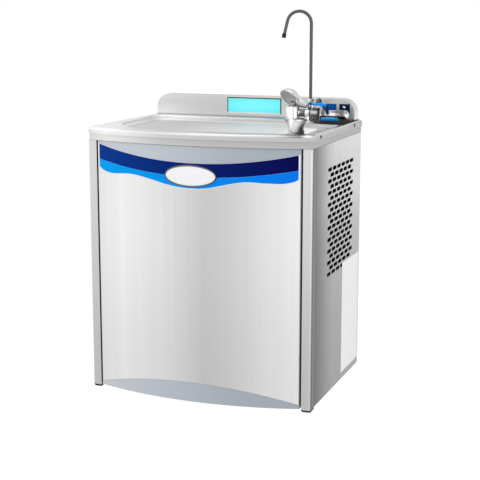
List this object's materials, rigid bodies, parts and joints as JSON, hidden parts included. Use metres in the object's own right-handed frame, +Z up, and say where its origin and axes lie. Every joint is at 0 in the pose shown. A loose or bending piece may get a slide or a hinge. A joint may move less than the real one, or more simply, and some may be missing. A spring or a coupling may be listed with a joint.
{
  "type": "wall-mounted drinking fountain",
  "caption": "Wall-hung steel drinking fountain with a bowed front, shallow basin, hooded bubbler tap, gooseneck glass filler and a lit display window on the splash panel.",
  "frame": {"origin": "centre of the wall bracket's four bolt holes, on the plane of the wall", "axes": "+X to the right as seen from the front, +Y into the wall, +Z up"},
  "size_m": [0.4599, 0.3569, 0.7547],
  "materials": {
    "brushed_front": "vertically brushed stainless steel",
    "brushed_case": "brushed stainless steel",
    "polished_deck": "finely polished stainless steel",
    "base_paint": "satin blue grey paint",
    "galvanised": "galvanised sheet",
    "black_plastic": "moulded black plastic",
    "display_lit": "backlit translucent cyan, emissive",
    "white_plastic": "moulded white plastic",
    "sign_blue": "gloss mid blue",
    "sign_navy": "gloss dark blue",
    "band_navy": "gloss dark blue film",
    "band_azure": "gloss azure film",
    "badge_white": "gloss white",
    "badge_edge": "dark chrome",
    "plate_white": "matt white",
    "tap_chrome": "polished chrome plate",
    "tap_dark": "dark nickel plate",
    "tube_steel": "satin stainless tube",
    "spring_steel": "bright steel",
    "lever_blue": "gloss bright blue",
    "yellow_brass": "turned brass",
    "waste_steel": "stainless steel",
    "foam": "rigid insulating foam",
    "tank_steel": "stainless steel",
    "compressor_black": "satin black paint",
    "black_rubber": "black rubber",
    "fin_aluminium": "mill finish",
    "motor_grey": "dark grey paint",
    "handle_red": "red dipped steel",
    "copper_tube": "drawn copper"
  },
  "bodies": {
    "root": {"front_fascia": "brushed_front", "side_panel_left": "brushed_case", "side_panel_right": "brushed_case", "corner_posts": "brushed_case", "backsplash": "brushed_case", "basin_deck": "polished_deck", "deck_screws": "polished_deck", "waste_strainer": "polished_deck", "front_base_panel": "base_paint", "base_pan": "galvanised", "top_frame": "galvanised", "back_panel": "galvanised", "wall_bracket": "galvanised", "hanger_bar": "galvanised", "fan_duct": "galvanised", "post_caps": "black_plastic", "display_bezel": "black_plastic", "display_panel": "display_lit", "display_housing": "white_plastic", "control_box": "white_plastic", "drain_pipe": "white_plastic", "sign_plate_left": "sign_blue", "sign_plate_right": "sign_navy", "band_dark": "band_navy", "band_light": "band_azure", "badge_plate": "badge_white", "badge_rim": "badge_edge", "side_plate": "plate_white", "bubbler_base": "tap_chrome", "bubbler_body": "tap_chrome", "bubbler_guard": "tap_chrome", "bubbler_nozzle": "tap_chrome", "bubbler_valve": "tap_chrome", "filler_body": "tap_chrome", "filler_collar": "tap_chrome", "bubbler_union_nut": "tap_dark", "bubbler_lever_pin": "spring_steel", "bubbler_spring": "spring_steel", "locknuts": "yellow_brass", "inlet_valve": "yellow_brass", "waste_body": "waste_steel", "tank_insulation": "foam", "cold_tank": "tank_steel", "compressor": "compressor_black", "compressor_mounts": "black_rubber", "cord_gland": "black_rubber", "condenser_core": "fin_aluminium", "fan_motor": "motor_grey", "cold_water_pipes": "copper_tube", "refrigerant_lines": "copper_tube"},
    "bubbler_lever": {"bubbler_lever": "lever_blue", "bubbler_lever_cap": "tap_chrome"},
    "bubbler_plunger": {"bubbler_plunger": "spring_steel"},
    "filler_lever": {"filler_lever_hub": "tap_chrome", "filler_paddle": "lever_blue"},
    "gooseneck": {"gooseneck": "tube_steel", "gooseneck_tip": "black_plastic"},
    "fan": {"fan_blade": "fin_aluminium"},
    "thermostat": {"thermostat_knob": "black_plastic"},
    "inlet_handle": {"inlet_handle": "handle_red"}
  },
  "joints": [
    {"name": "bubbler_lever_press", "type": "hinge", "parent": "root", "child": "bubbler_lever", "pos_m": [0.19554, -0.25308, 0.117], "axis": [-0.342, 0.9397, 0], "range_deg": [0, 10], "stiffness_Nm_per_rad": 0.5, "springref_deg": -9.74, "deforming": ["bubbler_spring"]},
    {"name": "bubbler_plunger_travel", "type": "slide", "parent": "root", "child": "bubbler_plunger", "axis": [0, 0, -1], "range_m": [0, 0.0019]},
    {"name": "filler_lever_press", "type": "hinge", "parent": "root", "child": "filler_lever", "pos_m": [0.186, -0.084, 0.086], "axis": [1, 0, 0], "range_deg": [0, 25], "stiffness_Nm_per_rad": 0.3, "springref_deg": -11.46},
    {"name": "gooseneck_swivel", "type": "hinge", "parent": "root", "child": "gooseneck", "pos_m": [0.144, -0.084, 0.1], "axis": [0, 0, 1], "range_deg": [-60, 60]},
    {"name": "fan_spin", "type": "hinge", "parent": "root", "child": "fan", "pos_m": [0.132, -0.145, -0.104], "axis": [1, 0, 0], "continuous": true},
    {"name": "thermostat_turn", "type": "hinge", "parent": "root", "child": "thermostat", "pos_m": [-0.14, -0.072, -0.065], "axis": [0, -1, 0], "range_deg": [-135, 135]},
    {"name": "inlet_stop_turn", "type": "hinge", "parent": "root", "child": "inlet_handle", "pos_m": [-0.15, -0.05, -0.412], "axis": [0, -1, 0], "range_deg": [0, 90]}
  ],
  "couplings": [
    {"joint": "bubbler_plunger_travel", "follows": "bubbler_lever_press", "m_per_rad": 0.0105}
  ]
}
